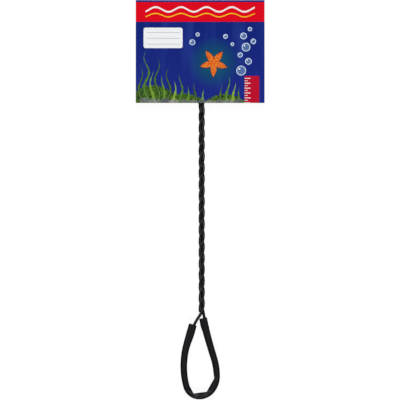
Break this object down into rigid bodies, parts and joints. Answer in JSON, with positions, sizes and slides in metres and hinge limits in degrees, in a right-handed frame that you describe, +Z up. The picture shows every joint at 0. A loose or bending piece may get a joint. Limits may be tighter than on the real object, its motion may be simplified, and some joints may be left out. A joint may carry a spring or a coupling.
{
  "type": "aquarium fish net",
  "caption": "Small aquarium net with a twisted coated-wire handle, hand loop with tube sleeve, and a mesh bag on a hoop, in a folding header card.",
  "frame": {"origin": "on the table, under the middle of the whole", "axes": "+X across the card, +Y from the hand loop to the card's fold, +Z up from the table"},
  "size_m": [0.132, 0.4097, 0.0094],
  "materials": {
    "black_pvc_coating": "smooth extruded PVC, satin",
    "black_pvc_tube": "soft PVC tube, satin",
    "steel_core": "drawn steel wire",
    "woven_tape": "woven polyester tape",
    "nylon_net": "knotless nylon net",
    "printed_board": "coated board, offset print"
  },
  "bodies": {
    "net": {"strand_1_coating": "black_pvc_coating", "strand_2_coating": "black_pvc_coating", "strand_3_coating": "black_pvc_coating", "hoop_coating": "black_pvc_coating", "hand_loop_coating": "black_pvc_coating", "strand_1_core": "steel_core", "strand_2_core": "steel_core", "strand_3_core": "steel_core", "hoop_core": "steel_core", "hand_loop_core": "steel_core", "hem_band": "woven_tape", "bag_wall": "nylon_net", "loop_sleeve": "black_pvc_tube"},
    "bag": {"bag_toe": "nylon_net"},
    "card_back": {"card_back": "printed_board"},
    "card_spine": {"card_spine": "printed_board"},
    "card_front": {"card_front": "printed_board"}
  },
  "joints": [
    {"name": "card_pull", "type": "slide", "parent": "net", "child": "card_back", "axis": [0, 1, 0], "range_m": [0, 0.115]},
    {"name": "card_open", "type": "hinge", "parent": "card_back", "child": "card_spine", "pos_m": [0, 0.20485, 0], "axis": [-1, 0, 0], "range_deg": [0, 90]},
    {"name": "front_open", "type": "hinge", "parent": "card_spine", "child": "card_front", "pos_m": [0, 0.20485, 0.008], "axis": [-1, 0, 0], "range_deg": [0, 90]},
    {"name": "bag_rise", "type": "slide", "parent": "net", "child": "bag", "axis": [0, 0, 1], "range_m": [0, 0.07], "deforming": ["bag_wall"]}
  ],
  "couplings": [
    {"joint": "front_open", "follows": "card_open", "ratio": 1},
    {"joint": "bag_rise", "follows": "card_open", "m_per_rad": 0.044563}
  ]
}
